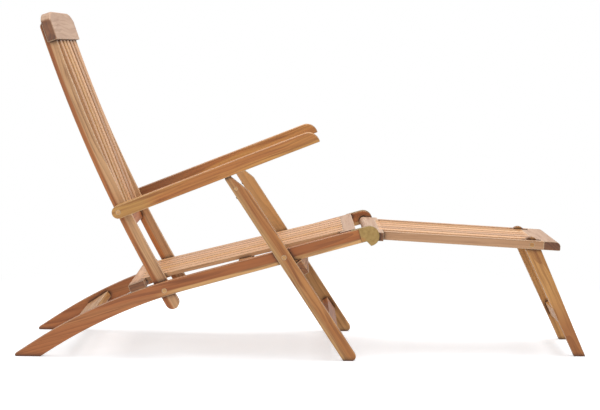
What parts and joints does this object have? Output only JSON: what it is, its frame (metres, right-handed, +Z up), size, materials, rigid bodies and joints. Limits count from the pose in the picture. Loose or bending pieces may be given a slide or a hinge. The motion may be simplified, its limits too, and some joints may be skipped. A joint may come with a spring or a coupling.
{
  "type": "steamer deck chair",
  "caption": "Folding slatted teak steamer chair with a reclining back, flat armrests, crossed front legs and a long hinged footrest.",
  "frame": {"origin": "on the floor, under the middle of the chair's length and width", "axes": "+X forward to the footrest, +Y to the sitter's left, +Z up"},
  "size_m": [1.7512, 0.6006, 1.043],
  "materials": {
    "teak_frame": "oiled teak",
    "teak_slat": "oiled teak, paler",
    "teak_plug": "end grain",
    "brass": "dull",
    "dark_screw": "darkened"
  },
  "bodies": {
    "frame": {"back_pivot_bolts": "brass", "front_leg_pivot_bolts": "brass", "knee_plate_left": "brass", "knee_plate_right": "brass", "rear_leg_stretcher": "teak_frame", "seat_bearer": "teak_frame", "seat_front_board": "teak_frame", "seat_rear_board": "teak_frame", "seat_slat_1": "teak_slat", "seat_slat_2": "teak_slat", "seat_slat_3": "teak_slat", "seat_slat_4": "teak_slat", "seat_slat_5": "teak_slat", "seat_slat_6": "teak_slat", "seat_slat_7": "teak_slat", "side_rail_left": "teak_frame", "side_rail_plugs": "teak_plug", "side_rail_right": "teak_frame"},
    "back": {"arm_bolt_left": "brass", "arm_bolt_right": "brass", "arm_spacer_left": "brass", "arm_spacer_right": "brass", "back_lower_rail": "teak_frame", "back_slat_1": "teak_slat", "back_slat_2": "teak_slat", "back_slat_3": "teak_slat", "back_slat_4": "teak_slat", "back_slat_5": "teak_slat", "back_stile_left": "teak_frame", "back_stile_right": "teak_frame", "headrest_board": "teak_frame"},
    "arm_left": {"arm_plug_left": "teak_plug", "armrest_left": "teak_frame"},
    "arm_right": {"arm_plug_right": "teak_plug", "armrest_right": "teak_frame"},
    "front_legs": {"arm_pegs": "brass", "front_leg_left": "teak_frame", "front_leg_plugs": "teak_plug", "front_leg_right": "teak_frame", "front_leg_stretcher": "teak_frame", "leg_stop_board": "teak_frame", "peg_screws": "dark_screw"},
    "footrest": {"footrest_front_board": "teak_frame", "footrest_leg_pins": "brass", "footrest_plugs": "teak_plug", "footrest_rail_left": "teak_frame", "footrest_rail_right": "teak_frame", "footrest_rear_board": "teak_frame", "footrest_slat_1": "teak_slat", "footrest_slat_2": "teak_slat", "footrest_slat_3": "teak_slat", "footrest_slat_4": "teak_slat", "footrest_slat_5": "teak_slat", "knee_dowels": "teak_frame"},
    "footrest_legs": {"footrest_leg_left": "teak_frame", "footrest_leg_right": "teak_frame", "footrest_leg_stretcher": "teak_frame"}
  },
  "joints": [
    {"name": "back_hinge", "type": "hinge", "parent": "frame", "child": "back", "pos_m": [-0.42204, 0, 0.20507], "axis": [0, -1, 0], "range_deg": [-70, 0]},
    {"name": "arm_left_hinge", "type": "hinge", "parent": "back", "child": "arm_left", "pos_m": [-0.55812, 0, 0.44638], "axis": [0, -1, 0], "range_deg": [0, 85.2]},
    {"name": "arm_right_hinge", "type": "hinge", "parent": "back", "child": "arm_right", "pos_m": [-0.55812, 0, 0.44638], "axis": [0, -1, 0], "range_deg": [0, 85.2]},
    {"name": "front_leg_hinge", "type": "hinge", "parent": "frame", "child": "front_legs", "pos_m": [-0.06001, 0, 0.31323], "axis": [0, -1, 0], "range_deg": [-99.2, 0]},
    {"name": "footrest_hinge", "type": "hinge", "parent": "frame", "child": "footrest", "pos_m": [0.1975, 0, 0.3783], "axis": [0, -1, 0], "range_deg": [-92, 45]},
    {"name": "footrest_leg_hinge", "type": "hinge", "parent": "footrest", "child": "footrest_legs", "pos_m": [0.69902, 0, 0.34846], "axis": [0, -1, 0], "range_deg": [-113, 0]}
  ],
  "couplings": [
    {"joint": "front_leg_hinge", "follows": "back_hinge", "ratio": 1.4143},
    {"joint": "arm_left_hinge", "follows": "back_hinge", "ratio": -1.2143},
    {"joint": "arm_right_hinge", "follows": "back_hinge", "ratio": -1.2143}
  ]
}
